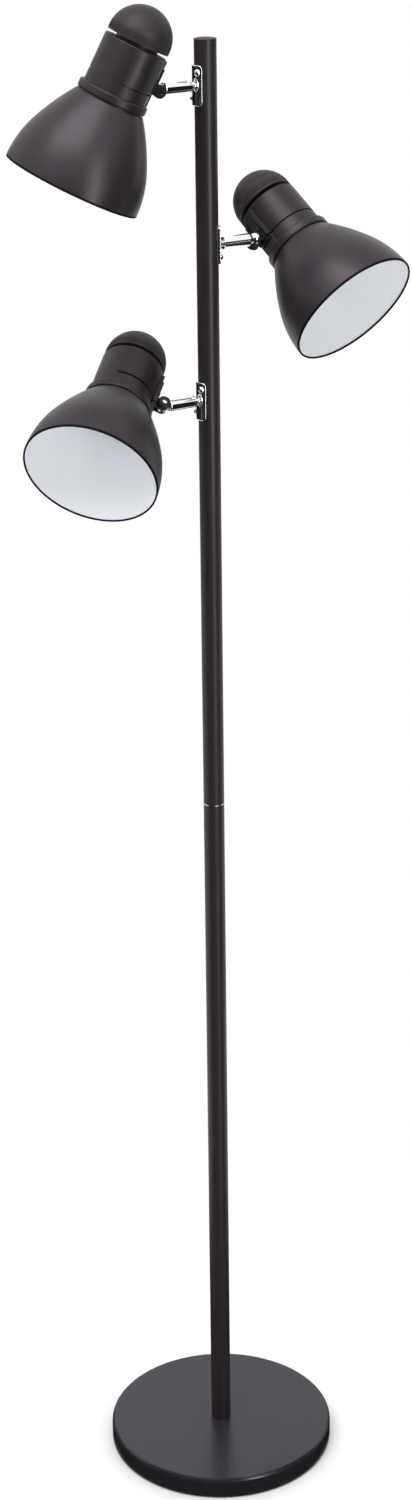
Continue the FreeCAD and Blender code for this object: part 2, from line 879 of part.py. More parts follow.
def make_head_bracket(number, head):
    """Fork screwed to the housing's block; its two ears hold the pivot screw."""
    body = new_body("head_bracket_%d" % number, head_frame(number, head))
    eye = size("ear_eye_radius")
    web = axis_offset - block_face
    web_start = web - size("bracket_base_thickness")
    half = size("bracket_base_height") / 2
    hole = size("pivot_screw_radius") + size("plug_clearance")
    for name, low in (("near_ear", -ear_outside), ("far_ear", ear_inside)):
        sketch = new_sketch(body, name + "_outline", "XZ_Plane", offset=-low - size("ear_thickness"))
        draw_outline(sketch, [
            (0, -eye), (web, -eye), (web, eye), (0, eye, eye, 1), (-eye, 0, eye, 1),
        ])
        draw_circle(sketch, (0, 0), hole)
        pad(body, name, sketch, size("ear_thickness"))
        if name == "near_ear":
            # the web comes second, because the far ear has to meet it
            plate = new_sketch(body, "web_outline", "YZ_Plane", offset=web_start)
            wide = size("bracket_base_width") / 2
            draw_rectangle(plate, (-wide, -half), (wide, half))
            pad(body, "web", plate, size("bracket_base_thickness"))


def make_pivot_screw(number, head):
    """Dome-head screw through the fork and the tongue."""
    body = new_body("pivot_screw_%d" % number, head_frame(number, head) * TO_Y)
    radius = size("pivot_screw_radius")
    head_radius = size("pivot_head_radius")
    crown = size("pivot_head_height")
    seat = -ear_outside - size("plug_clearance")
    end = ear_outside + size("thumb_nut_height") - size("pivot_screw_recess")
    dome = (head_radius * head_radius + crown * crown) / (crown * 2)
    revolve(body, "screw", [
        (0, seat - crown, dome, 1), (head_radius, seat), (radius, seat), (radius, end), (0, end),
    ])


def make_thumb_nut(number, head):
    """Fluted thumb nut that sets the friction of the tilt."""
    body = new_body("thumb_nut_%d" % number, head_frame(number, head) * TO_Y)
    radius = size("thumb_nut_radius")
    height = size("thumb_nut_height")
    low = ear_outside + size("plug_clearance")
    bore = size("pivot_screw_radius") + size("plug_clearance")
    bevel = height / 8
    revolve(body, "nut", [
        (bore, low), (radius - bevel, low), (radius, low + bevel),
        (radius, low + height - bevel), (radius - bevel, low + height), (bore, low + height),
    ])
    sketch = new_sketch(body, "flute_outline", "XY_Plane", offset=low - overrun)
    draw_circle(sketch, (radius + size("thumb_nut_flute_radius") / 3, 0), size("thumb_nut_flute_radius"))
    flute = pocket(body, "flute", sketch, height + overrun * 2, reversed_way=True)
    repeat_round(body, "flutes", flute, size("thumb_nut_flutes"))


# ---------------------------------------------------------------- head

def add_block(body, name, low, high):
    """Flat block on the housing's side that faces the arm."""
    half = size("block_width") / 2
    sketch = new_sketch(body, name + "_outline", "XY_Plane", offset=low)
    draw_rectangle(sketch, (-block_face, -half), (-(housing_bore - size("block_root")), half))
    pad(body, name, sketch, high - low)


def clear_bore(body, name, low, high):
    """Takes the block's inner end out of the housing's round hollow again."""
    sketch = new_sketch(body, name + "_outline", "XY_Plane", offset=high)
    draw_circle(sketch, (0, 0), housing_bore)
    pocket(body, name, sketch, high - low)


def make_housing_body(number, head):
    """Lower half of the head's housing. Its round flange stands on a narrower foot."""
    body = new_body("housing_body_%d" % number, axis_frame(number, head))
    flange = flange_radius
    edge = size("flange_round")
    top = size("flange_height")
    outer = size("housing_radius")
    seam = size("housing_seam_height")
    floor = size("housing_wall")
    foot = flange - size("flange_foot_inset")
    under = size("flange_foot_height")
    revolve(body, "cup", [
        (holder_hole, 0),
        (foot, 0),
        (foot, under),
        (flange - edge, under, edge, 1),
        (flange, under + edge),
        (flange, top - edge, edge, 1),
        (flange - edge, top),
        (outer, top),
        (outer, seam),
        (housing_bore, seam),
        (housing_bore, floor),
        (holder_hole, floor),
    ])
    add_block(body, "block", top, seam)
    clear_bore(body, "hollow", floor, seam)


def make_housing_cover(number, head):
    """Upper half of the housing: its lip enters the body below the seam groove."""
    body = new_body("housing_cover_%d" % number, axis_frame(number, head))
    outer = size("housing_radius")
    lip = housing_bore - size("plug_clearance") * 2
    lip_bore = lip - size("seam_lip_wall")
    lip_low = cover_start - size("seam_groove") - size("seam_lip_height")
    edge = size("housing_top_round")
    revolve(body, "cap", [
        (lip_bore, lip_low),
        (lip, lip_low),
        (lip, cover_start),
        (outer, cover_start),
        (outer, housing_top - edge, edge, 1),
        (outer - edge, housing_top),
        (neck_hole, housing_top),
        (neck_hole, housing_top - size("housing_wall")),
        (lip_bore, housing_top - size("housing_wall")),
    ])
    block_top = housing_top - size("block_margin")
    add_block(body, "block", cover_start, block_top)
    sketch = new_sketch(body, "hollow_outline", "XY_Plane", offset=block_top)
    draw_circle(sketch, (0, 0), lip_bore)
    pocket(body, "hollow", sketch, block_top - cover_start)
    close_seam(body, lip)
    add_side_panel(body)
    add_side_ribs(body)
    add_ribs(body, block_top)


def ring_sector(sketch, inner, outer, start, end):
    """Outline between two radii and two angles, less than a half turn apart."""
    draw_outline(sketch, [
        (outer * cosine(start), outer * sine(start), outer, 1),
        (outer * cosine(end), outer * sine(end)),
        (inner * cosine(end), inner * sine(end), inner, -1),
        (inner * cosine(start), inner * sine(start)),
    ])


def close_seam(body, lip):
    """Fills the seam groove over the part of the round where the halves meet flush."""
    sketch = new_sketch(body, "closed_seam_outline", "XY_Plane", offset=cover_start)
    inner = lip - size("seam_lip_wall") / 2
    ring_sector(sketch, inner, size("housing_radius"), size("closed_seam_start"), size("closed_seam_end"))
    pad(body, "closed_seam", sketch, size("seam_groove"), reversed_way=True)


def add_side_panel(body):
    """Slightly raised panel above the seam, between its closed part and the block."""
    sketch = new_sketch(body, "panel_outline", "XY_Plane", offset=cover_start)
    outer = size("housing_radius") + size("panel_proud")
    inner = size("housing_radius") - size("housing_wall") / 2
    ring_sector(sketch, inner, outer, size("closed_seam_end"), size("panel_end"))
    pad(body, "panel", sketch, size("panel_height"))


def add_side_ribs(body):
    """Two raised ribs along the block's edges, each with a short hook at its top."""
    half = size("block_width") / 2
    wide = size("side_rib_width")
    proud = size("side_rib_proud")
    sketch = new_sketch(body, "side_rib_outline", "XY_Plane", offset=cover_start)
    for near, far in ((-half, wide - half), (half - wide, half)):
        draw_rectangle(sketch, (-block_face - proud, near), (-block_face + proud, far))
    length = size("side_rib_length")
    pad(body, "side_ribs", sketch, length)
    hook = size("rib_hook_width")
    sketch = new_sketch(body, "rib_hook_outline", "XY_Plane", offset=cover_start + length)
    for near, far in ((-half, hook - half), (half - hook, half)):
        draw_rectangle(sketch, (-block_face - proud, near), (-block_face + proud, far))
    pad(body, "rib_hooks", sketch, size("rib_hook_height"), reversed_way=True)


def add_ribs(body, block_top):
    """Row of small grip ribs across the block's face, above the fork."""
    count = size("cover_rib_count")
    pitch = size("cover_rib_pitch")
    fork_top = size("pivot_above_flange") + size("bracket_base_height") / 2
    first = (fork_top + block_top) / 2 - pitch * (count - 1) / 2
    half = size("cover_rib_length") / 2
    proud = size("cover_rib_proud")
    sketch = new_sketch(body, "rib_outline", "XY_Plane", offset=first - size("cover_rib_height") / 2)
    draw_rectangle(sketch, (-block_face - proud, -half), (-block_face + proud, half))
    rib = pad(body, "rib", sketch, size("cover_rib_height"))
    rows = body.newObject("PartDesign::LinearPattern", "ribs")
    rows.Originals = [rib]
    rows.Direction = (body.Origin.OriginFeatures[2], [""])
    rows.setExpression("Length", (pitch * (count - 1)).formula)
    rows.setExpression("Occurrences", count.formula)
    body.Tip = rows


def make_shade(number, head):
    """Bell reflector of sheet metal: two tangent arcs from a folded hem to a flat top."""
    body = new_body("shade_%d" % number, axis_frame(number, head))
    wall = size("shade_wall")
    rim = size("shade_rim_radius")
    neck = flange_radius - size("shade_neck_inset")
    depth = size("shade_depth")
    lower = size("shade_lower_arc")
    rise = size("shade_lower_height")
    top = -size("plug_clearance")
    run = root_of(lower * lower - rise * rise)
    meet_radius = rim - lower + run
    meet_height = rise - depth
    # the upper arc leaves the lower one on its tangent and ends at the neck
    chord_across = neck - meet_radius
    chord_up = top - meet_height
    turned = -(chord_across * run + chord_up * rise) / lower
    upper = (chord_across * chord_across + chord_up * chord_up) / (turned * 2)
    out_across = run / lower
    out_up = rise / lower
    centre_across = meet_radius - upper * out_across
    centre_up = meet_height - upper * out_up
    # the inside follows both arcs at the wall's distance, up to the flat top
    under = top - wall
    inner_upper = upper - wall
    inner_lower = lower - wall
    hem = size("shade_hem_height")
    hem_width = size("shade_hem_width")
    bevel = size("shade_hem_bevel")
    fall = under - centre_up
    inner_neck = centre_across + root_of(inner_upper * inner_upper - fall * fall)
    revolve(body, "bell", [
        (holder_hole, top),
        (holder_hole, under),
        (inner_neck, under, inner_upper, -1),
        (meet_radius - wall * out_across, meet_height - wall * out_up, inner_lower, -1),
        (rim - lower + root_of(inner_lower * inner_lower - hem * hem), hem - depth),
        (rim - hem_width, hem - depth),
        (rim - hem_width, bevel - depth),
        (rim - hem_width + bevel, -depth),
        (rim, -depth, lower, 1),
        (meet_radius, meet_height, upper, 1),
        (neck, top),
    ])


def make_lamp_holder(number, head):
    """Insulating lamp holder with a built-in rotary switch at its closed end."""
    body = new_body("lamp_holder_%d" % number, axis_frame(number, head))
    radius = size("holder_radius")
    flange = size("holder_flange_radius")
    seat = size("housing_wall") + size("plug_clearance")
    low = -size("holder_drop")
    high = size("holder_height")
    bore = size("shell_bore_radius") + size("shell_wall") + size("plug_clearance")
    floor = low + size("holder_cavity_depth")
    spindle = size("spindle_radius") + shaft_clearance
    hole_floor = high - size("spindle_grip") - size("spindle_end_gap")
    revolve(body, "holder", [
        (0, floor), (bore, floor), (bore, low), (radius, low), (radius, seat), (flange, seat),
        (flange, seat + size("holder_flange_height")), (radius, seat + size("holder_flange_height")),
        (radius, high), (spindle, high), (spindle, hole_floor), (0, hole_floor),
    ])


def make_socket_shell(number, head):
    """Screw shell of the lamp holder, open to the lamp and closed behind."""
    body = new_body("socket_shell_%d" % number, axis_frame(number, head))
    bore = size("shell_bore_radius")
    outer = bore + size("shell_wall")
    low = size("shell_recess") - size("holder_drop")
    high = -size("holder_drop") + size("holder_cavity_depth") - size("plug_clearance")
    revolve(body, "shell", [
        (bore, low), (outer, low), (outer, high), (0, high),
        (0, high - size("shell_wall")), (bore, high - size("shell_wall")),
    ])


def make_shade_ring(number, head):
    """Ring on the lamp holder's thread that clamps the shade against the flange."""
    body = new_body("shade_ring_%d" % number, axis_frame(number, head))
    bore = size("holder_radius") + size("plug_clearance") * 2
    outer = size("shade_ring_radius")
    high = -size("plug_clearance") * 2 - size("shade_wall")
    low = high - size("shade_ring_height")
    bevel = size("shade_ring_bevel")
    revolve(body, "ring", [
        (bore, low), (outer - bevel, low), (outer, low + bevel), (outer, high), (bore, high),
    ])


def make_switch_knob(number, head):
    """Domed knob with a fluted band, a neck in the cover and a spindle to the switch."""
    body = new_body("switch_knob_%d" % number, axis_frame(number, head))
    radius = size("housing_radius") - size("knob_inset")
    wall = size("knob_wall")
    neck = size("knob_neck_radius")
    neck_low = housing_top - size("knob_neck_depth")
    band_top = knob_start + size("knob_band_height")
    # the dome is a half round above the band, a little flattened
    crown = radius - size("knob_dome_fall")
    dome = (radius * radius + crown * crown) / (crown * 2)
    top = band_top + crown
    inner = radius - wall
    inner_dome = dome - wall
    inner_crown = crown - wall
    spindle = size("spindle_radius")
    spindle_low = size("holder_height") - size("spindle_grip")
    neck_bore = neck - wall
    spindle_top_fall = inner_dome - root_of(inner_dome * inner_dome - spindle * spindle)
    spindle_top = band_top + inner_crown - spindle_top_fall
    # the inside of the dome starts where its arc meets the neck's floor
    floor = knob_start + wall
    inner_start = root_of(inner_dome * inner_dome - (dome - crown) * (dome - crown))
    revolve(body, "dome", [
        (0, spindle_low),
        (spindle, spindle_low),
        (spindle, spindle_top, inner_dome, -1),
        (inner_start, band_top),
        (inner_start, floor),
        (neck_bore, floor),
        (neck_bore, neck_low),
        (neck, neck_low),
        (neck, knob_start),
        (radius, knob_start),
        (radius, band_top, dome, 1),
        (0, top),
    ])
    # each flute starts above a plain rim and runs out in the dome
    flute_top = band_top + size("knob_flute_rise")
    flute_length = flute_top - knob_start - size("knob_rim_height")
    sketch = new_sketch(body, "flute_outline", "XY_Plane", offset=flute_top)
    flute_radius = size("knob_flute_radius")
    reach = radius + flute_radius - size("knob_flute_depth")
    draw_circle(sketch, (reach, 0), flute_radius)
    flute = pocket(body, "flute", sketch, flute_length)
    repeat_round(body, "flutes", flute, size("knob_flutes"))


# ---------------------------------------------------------------- whole lamp

make_base_shell()
make_base_weight()
make_floor_pad()
make_base_stud()
make_base_washer()
make_base_nut()
make_cord_grommet()
make_pole_tubes()
make_pole_joint()
make_pole_foot()
make_pole_cap()
make_plate_screws()
HEAD_PIECES = [
    make_bracket_plate, make_swivel_stud, make_swivel_nut, make_arm_sleeve, make_arm_tongue,
    make_head_bracket, make_pivot_screw, make_thumb_nut, make_housing_body,
    make_housing_cover, make_shade, make_lamp_holder, make_socket_shell, make_shade_ring,
    make_switch_knob,
]
for head_number, head_values in HEADS.items():
    for make_piece in HEAD_PIECES:
        make_piece(head_number, head_values)
doc.recompute()

# nothing is written unless every object is sound
for item in doc.Objects:
    if "Invalid" in item.State or "Error" in item.State:
        raise ValueError("%s failed: %s" % (item.Label, item.State))
for part in subparts:
    if part.Shape.isNull() or not part.Shape.isValid():
        raise ValueError("%s has no sound shape" % part.Label)

os.makedirs("parts", exist_ok=True)
for part in subparts:
    part.Shape.exportStep("parts/%s.step" % part.Label)
print("%d sub-parts written" % len(subparts))
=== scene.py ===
import json
import math

import bmesh
import bpy
from mathutils import Matrix, Vector


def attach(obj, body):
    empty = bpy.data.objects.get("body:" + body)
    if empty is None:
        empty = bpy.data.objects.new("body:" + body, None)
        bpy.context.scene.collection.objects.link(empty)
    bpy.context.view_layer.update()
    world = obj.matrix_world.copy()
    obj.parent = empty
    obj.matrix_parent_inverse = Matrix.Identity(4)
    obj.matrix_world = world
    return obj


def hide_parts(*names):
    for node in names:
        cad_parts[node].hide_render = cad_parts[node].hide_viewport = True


# Tree floor lamp with three bell-shaded heads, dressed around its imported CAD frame.
# Everything is in metres, apart from the shades' own sizes, which are in millimetres.
# Each head has its own frame: Z runs along its axis from the flange towards the knob,
# and Y lies along its pivot screw.

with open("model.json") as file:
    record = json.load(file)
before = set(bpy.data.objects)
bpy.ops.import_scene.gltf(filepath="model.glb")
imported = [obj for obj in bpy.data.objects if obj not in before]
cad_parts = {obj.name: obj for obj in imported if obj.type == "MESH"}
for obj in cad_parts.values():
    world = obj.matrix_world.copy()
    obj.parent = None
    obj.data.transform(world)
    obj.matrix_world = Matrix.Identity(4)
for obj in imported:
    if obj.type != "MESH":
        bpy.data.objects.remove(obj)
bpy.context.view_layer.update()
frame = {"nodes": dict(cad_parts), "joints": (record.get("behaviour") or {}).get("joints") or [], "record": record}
nodes = frame["nodes"]
joints = {joint["name"]: joint for joint in frame["joints"]}
HEADS = (1, 2, 3)
MM = 0.001
WHITE = (1.0, 1.0, 1.0, 1.0)


# ---------------------------------------------------------------- camera

# the camera stands on the -Y side before it is turned by its azimuth; angles in degrees
CAMERA_AZIMUTH = -30.0
CAMERA_DISTANCE = 2.782
CAMERA_HEIGHT = 1.974
CAMERA_PITCH = 21.81
CAMERA_YAW = -0.16
CAMERA_ROLL = -0.73
# the photograph's height and the focal length in its pixels, and the sensor's long side
# in millimetres
IMAGE_HEIGHT = 1500
FOCAL_PIXELS = 2827.8
SENSOR = 36.0


def make_camera():
    """Camera at the photograph's angle: the long side of the picture is upright."""
    pitch, yaw, roll = (math.radians(a) for a in (CAMERA_PITCH, CAMERA_YAW, CAMERA_ROLL))
    forward = Vector((
        math.sin(yaw) * math.cos(pitch), math.cos(yaw) * math.cos(pitch), -math.sin(pitch),
    ))
    level = Vector((math.cos(yaw), -math.sin(yaw), 0.0))
    upright = level.cross(forward)
    right = math.cos(roll) * level + math.sin(roll) * upright
    up = -math.sin(roll) * level + math.cos(roll) * upright
    turn = Matrix.Rotation(math.radians(CAMERA_AZIMUTH), 3, "Z")
    axes = turn @ Matrix((right, up, -forward)).transposed()
    data = bpy.data.cameras.new("camera")
    data.sensor_width = SENSOR
    data.lens = FOCAL_PIXELS * SENSOR / IMAGE_HEIGHT
    data.clip_start = 0.1
    data.clip_end = 100.0
    camera = bpy.data.objects.new("camera", data)
    camera.matrix_world = Matrix.Translation(
        turn @ Vector((0.0, -CAMERA_DISTANCE, CAMERA_HEIGHT))
    ) @ axes.to_4x4()
    bpy.context.scene.collection.objects.link(camera)
    bpy.context.scene.camera = camera


# ---------------------------------------------------------------- lights and surroundings

def add_area(name, azimuth, elevation, distance, width, height, power, aim_height, in_gloss):
    """Soft box that looks at a height on the pole. Azimuth 0 stands on the -Y side.

    It shows either in gloss alone or everywhere but in gloss.
    """
    a, e = math.radians(azimuth), math.radians(elevation)
    back = Vector((math.sin(a) * math.cos(e), -math.cos(a) * math.cos(e), math.sin(e)))
    data = bpy.data.lights.new(name, "AREA")
    data.shape = "RECTANGLE"
    data.size = width
    data.size_y = height
    data.energy = power
    light = bpy.data.objects.new(name, data)
    light.location = Vector((0.0, 0.0, aim_height)) + back * distance
    light.visible_diffuse = not in_gloss
    light.visible_glossy = in_gloss
    light.rotation_mode = "QUATERNION"
    light.rotation_quaternion = back.to_track_quat("Z", "Y")
    bpy.context.scene.collection.objects.link(light)


def make_lights():
    """Two soft boxes light the lamp, and three more show only in its gloss and chrome."""
    add_area(
        "key", azimuth=-70.0, elevation=48.0, distance=3.2, width=1.3, height=1.3,
        power=30.0, aim_height=1.3, in_gloss=False,
    )
    add_area(
        "top", azimuth=-30.0, elevation=82.0, distance=2.6, width=1.4, height=1.4,
        power=24.0, aim_height=0.6, in_gloss=False,
    )
    add_area(
        "shine_top", azimuth=-52.0, elevation=64.0, distance=3.0, width=2.8, height=1.8,
        power=72.0, aim_height=1.3, in_gloss=True,
    )
    add_area(
        "shine_front", azimuth=4.0, elevation=6.0, distance=3.2, width=0.6, height=2.9,
        power=48.0, aim_height=1.2, in_gloss=True,
    )
    add_area(
        "shine_right", azimuth=95.0, elevation=8.0, distance=3.2, width=0.6, height=2.4,
        power=9.0, aim_height=1.0, in_gloss=True,
    )


# The dark card is built in sectors round the pole. Their angles are whole degrees,
# counted from the camera to the right, and a span or a gap ends where a sector does.
CARD_STEP = 6
CARD_WALL_SPAN = (-150, 150)
CARD_SHEET_SPAN = (-66, 90)
CARD_GAP = (18, 42)
# the sheet lies at the wall's foot, from near the pole out to the wall
CARD_REACH = 3.4
CARD_START = 0.05
CARD_HEIGHT = 0.12
# the wall's top, and how much higher it is on the right and lower on the left
CARD_TOP = 2.25
CARD_TOP_LEAN = 0.35
# the ring on the floor, from just outside the base's edge outward
RING_REACHES = (0.129, 0.5)
RING_HEIGHT = 0.0004
CARD_PAINT = (0.01, 0.01, 0.01, 1.0)


def within(angle, span):
    return span[0] <= angle < span[1]


def make_dark_card():
    """Unseen black screen that gives gloss and chrome their contrast.

    A wall stands round the sides, a little higher on the right, and a sheet lies in
    front. Both leave a gap, which shows as the streak down the pole. A small ring on
    the floor darkens what the side of the base reflects.
    """
    mesh = bpy.data.meshes.new("dark_card")
    work = bmesh.new()
    for first in range(-180, 180, CARD_STEP):
        low, high, start, inner, outer = [], [], [], [], []
        for offset in (first, first + CARD_STEP):
            angle = math.radians(offset)
            across = math.sin(math.radians(CAMERA_AZIMUTH) + angle)
            along = -math.cos(math.radians(CAMERA_AZIMUTH) + angle)
            top = CARD_TOP + CARD_TOP_LEAN * math.sin(angle)
            for reach, up, points in (
                (CARD_START, CARD_HEIGHT, start),
                (CARD_REACH, CARD_HEIGHT, low),
                (CARD_REACH, top, high),
                (RING_REACHES[0], RING_HEIGHT, inner),
                (RING_REACHES[1], RING_HEIGHT, outer),
            ):
                points.append(work.verts.new((reach * across, reach * along, up)))
        work.faces.new((inner[0], inner[1], outer[1], outer[0]))
        if within(first, CARD_GAP):
            continue
        if within(first, CARD_WALL_SPAN):
            work.faces.new((low[0], low[1], high[1], high[0]))
        if within(first, CARD_SHEET_SPAN):
            work.faces.new((start[0], start[1], low[1], low[0]))
    work.to_mesh(mesh)
    work.free()
    card = bpy.data.objects.new("dark_card", mesh)
    bpy.context.scene.collection.objects.link(card)
    material = bpy.data.materials.new("dark_card")
    material.use_nodes = True
    shader = material.node_tree.nodes["Principled BSDF"]
    shader.inputs["Base Color"].default_value = CARD_PAINT
    shader.inputs["Roughness"].default_value = 1.0
    shader.inputs["Specular IOR Level"].default_value = 0.0
    mesh.materials.append(material)
    card.visible_camera = False
    card.visible_diffuse = False
    card.visible_shadow = False
    card.visible_transmission = False


def seen_rays(tree):
    """1 for rays that show the surroundings: straight, through glass or in a gloss."""
    path = tree.nodes.new("ShaderNodeLightPath")
    total = path.outputs["Is Camera Ray"]
    for name in ("Is Glossy Ray", "Is Transmission Ray"):
        add = tree.nodes.new("ShaderNodeMath")
        add.operation = "MAXIMUM"
        tree.links.new(total, add.inputs[0])
        tree.links.new(path.outputs[name], add.inputs[1])
        total = add.outputs["Value"]
    return total


WORLD_LIGHT = 0.92


def make_world():
    """Soft white surroundings: plain white where they are seen, dimmer as a light."""
    world = bpy.data.worlds.new("studio")
    bpy.context.scene.world = world
    world.use_nodes = True
    tree = world.node_tree
    tree.nodes.clear()
    output = tree.nodes.new("ShaderNodeOutputWorld")
    mix = tree.nodes.new("ShaderNodeMixShader")
    seen = tree.nodes.new("ShaderNodeBackground")
    seen.inputs["Color"].default_value = WHITE
    seen.inputs["Strength"].default_value = 1.0
    light = tree.nodes.new("ShaderNodeBackground")
    light.inputs["Color"].default_value = WHITE
    light.inputs["Strength"].default_value = WORLD_LIGHT
    tree.links.new(seen_rays(tree), mix.inputs["Fac"])
    tree.links.new(light.outputs["Background"], mix.inputs[1])
    tree.links.new(seen.outputs["Background"], mix.inputs[2])
    tree.links.new(mix.outputs["Shader"], output.inputs["Surface"])


# the floor lies a hair below the lamp and turns white between two distances from its axis
FLOOR_REACH = 12.0
FLOOR_HEIGHT = -0.0003
FLOOR_FADE = (0.16, 0.75)
FLOOR_PAINT = (0.9, 0.9, 0.9, 1.0)


def make_floor():
    """Pale floor that keeps the lamp's shadow and fades into the white surroundings."""
    mesh = bpy.data.meshes.new("floor")
    corners = ((-1, -1), (1, -1), (1, 1), (-1, 1))
    mesh.from_pydata(
        [(x * FLOOR_REACH, y * FLOOR_REACH, FLOOR_HEIGHT) for x, y in corners],
        [], [(0, 1, 2, 3)],
    )
    floor = bpy.data.objects.new("floor", mesh)
    bpy.context.scene.collection.objects.link(floor)
    material = bpy.data.materials.new("floor")
    material.use_nodes = True
    tree = material.node_tree
    tree.nodes.clear()
    output = tree.nodes.new("ShaderNodeOutputMaterial")
    paint = tree.nodes.new("ShaderNodeBsdfDiffuse")
    paint.inputs["Color"].default_value = FLOOR_PAINT
    glow = tree.nodes.new("ShaderNodeEmission")
    glow.inputs["Color"].default_value = WHITE
    glow.inputs["Strength"].default_value = 1.0
    where = tree.nodes.new("ShaderNodeTexCoord")
    length = tree.nodes.new("ShaderNodeVectorMath")
    length.operation = "LENGTH"
    fade = tree.nodes.new("ShaderNodeMapRange")
    fade.interpolation_type = "SMOOTHSTEP"
    fade.inputs["From Min"].default_value = FLOOR_FADE[0]
    fade.inputs["From Max"].default_value = FLOOR_FADE[1]
    both = tree.nodes.new("ShaderNodeMath")
    both.operation = "MULTIPLY"
    mix = tree.nodes.new("ShaderNodeMixShader")
    tree.links.new(where.outputs["Object"], length.inputs[0])
    tree.links.new(length.outputs["Value"], fade.inputs["Value"])
    tree.links.new(fade.outputs["Result"], both.inputs[0])
    tree.links.new(seen_rays(tree), both.inputs[1])
    tree.links.new(both.outputs["Value"], mix.inputs["Fac"])
    tree.links.new(paint.outputs["BSDF"], mix.inputs[1])
    tree.links.new(glow.outputs["Emission"], mix.inputs[2])
    tree.links.new(mix.outputs["Shader"], output.inputs["Surface"])
    mesh.materials.append(material)


# ---------------------------------------------------------------- materials

# a mix node has sockets of the same name for each data type; these are the colour's
MIX_FACTOR, MIX_FIRST, MIX_SECOND = 0, 6, 7
MIX_RESULT = 2


class Finish:
    """A procedural material around one Principled shader."""

    def __init__(self, name, colour, roughness, **sockets):
        self.material = bpy.data.materials.new(name)
        self.material.use_nodes = True
        self.tree = self.material.node_tree
        self.shader = self.tree.nodes["Principled BSDF"]
        self.shader.inputs["Base Color"].default_value = (*colour, 1.0)
        self.shader.inputs["Roughness"].default_value = roughness
        for key, value in sockets.items():
            self.shader.inputs[key.replace("_", " ")].default_value = value
        self.colour = colour
        self.where = self.tree.nodes.new("ShaderNodeTexCoord").outputs["Object"]
        self.normal = None

    def noise(self, scale, detail, roughness):
        """Noise with about as many blotches to the metre as its scale."""
        node = self.tree.nodes.new("ShaderNodeTexNoise")
        node.inputs["Scale"].default_value = scale
        node.inputs["Detail"].default_value = detail
        node.inputs["Roughness"].default_value = roughness
        self.tree.links.new(self.where, node.inputs["Vector"])
        return node.outputs["Fac"]

    def spread(self, value, low, high, start=0.3, stop=0.7):
        """Goes from low to high while the value goes from start to stop."""
        node = self.tree.nodes.new("ShaderNodeMapRange")
        node.inputs["From Min"].default_value = start
        node.inputs["From Max"].default_value = stop
        node.inputs["To Min"].default_value = low
        node.inputs["To Max"].default_value = high
        self.tree.links.new(value, node.inputs["Value"])
        return node.outputs["Result"]

    def vary_roughness(self, value, low, high):
        self.tree.links.new(self.spread(value, low, high), self.shader.inputs["Roughness"])

    def tint(self, value, second, start, stop):
        """Mixes the base colour towards a second one where the value is high."""
        node = self.tree.nodes.new("ShaderNodeMix")
        node.data_type = "RGBA"
        node.inputs[MIX_FIRST].default_value = (*self.colour, 1.0)
        node.inputs[MIX_SECOND].default_value = (*second, 1.0)
        self.tree.links.new(self.spread(value, 0.0, 1.0, start, stop), node.inputs[MIX_FACTOR])
        self.tree.links.new(node.outputs[MIX_RESULT], self.shader.inputs["Base Color"])

    def painted_top_sheen(self, colour):
        """Painted sheen: a further, lighter colour on the faces that look up, over the tint, standing in for the
        light they reflect.
        """
        face = self.tree.nodes.new("ShaderNodeNewGeometry")
        split = self.tree.nodes.new("ShaderNodeSeparateXYZ")
        self.tree.links.new(face.outputs["Normal"], split.inputs["Vector"])
        node = self.tree.nodes.new("ShaderNodeMix")
        node.data_type = "RGBA"
        base = self.shader.inputs["Base Color"]
        self.tree.links.new(base.links[0].from_socket, node.inputs[MIX_FIRST])
        node.inputs[MIX_SECOND].default_value = (*colour, 1.0)
        upward = self.spread(split.outputs["Z"], 0.0, 1.0, start=0.75, stop=0.98)
        self.tree.links.new(upward, node.inputs[MIX_FACTOR])
        self.tree.links.new(node.outputs[MIX_RESULT], base)

    def bump(self, value, distance, strength):
        """Adds relief to what the earlier calls made."""
        node = self.tree.nodes.new("ShaderNodeBump")
        node.inputs["Distance"].default_value = distance
        node.inputs["Strength"].default_value = strength
        self.tree.links.new(value, node.inputs["Height"])
        if self.normal is not None:
            self.tree.links.new(self.normal, node.inputs["Normal"])
        self.normal = node.outputs["Normal"]
        self.tree.links.new(self.normal, self.shader.inputs["Normal"])


# the gloss of paint and plastic is a little less green than the light
SHINE_TINT = (1.0, 0.90, 0.975)


def satin_paint(name, colour, worn, roughness, grain=2600.0, depth=0.00003, gloss=0.35,
                painted_top_sheen=None, shine=SHINE_TINT):
    """Baked satin paint on metal: fine orange peel, cloudy gloss and worn specks."""
    finish = Finish(
        name, colour, roughness, Specular_IOR_Level=gloss, Specular_Tint=(*shine, 1.0),
    )
    peel = finish.noise(grain, detail=2.0, roughness=0.55)
    finish.bump(peel, distance=depth, strength=0.35)
    waves = finish.noise(grain / 14, detail=2.0, roughness=0.5)
    finish.bump(waves, distance=depth * 4, strength=0.2)
    clouds = finish.noise(14.0, detail=4.0, roughness=0.6)
    finish.vary_roughness(clouds, roughness - 0.05, roughness + 0.06)
    specks = finish.noise(900.0, detail=5.0, roughness=0.75)
    finish.tint(specks, worn, start=0.62, stop=0.8)
    # painted sheen: faces that look up get a lighter colour, when one is given
    if painted_top_sheen is not None:
        finish.painted_top_sheen(painted_top_sheen)
    return finish.material


def moulded(name, colour, worn, roughness, gloss=0.3):
    """Moulded plastic with a fine spark-eroded texture."""
    finish = Finish(
        name, colour, roughness, Specular_IOR_Level=gloss, Specular_Tint=(*SHINE_TINT, 1.0),
    )
    texture = finish.noise(3800.0, detail=1.0, roughness=0.4)
    finish.bump(texture, distance=0.00004, strength=0.4)
    clouds = finish.noise(30.0, detail=3.0, roughness=0.6)
    finish.vary_roughness(clouds, roughness - 0.04, roughness + 0.05)
    specks = finish.noise(300.0, detail=5.0, roughness=0.8)
    finish.tint(specks, worn, start=0.6, stop=0.85)
    return finish.material


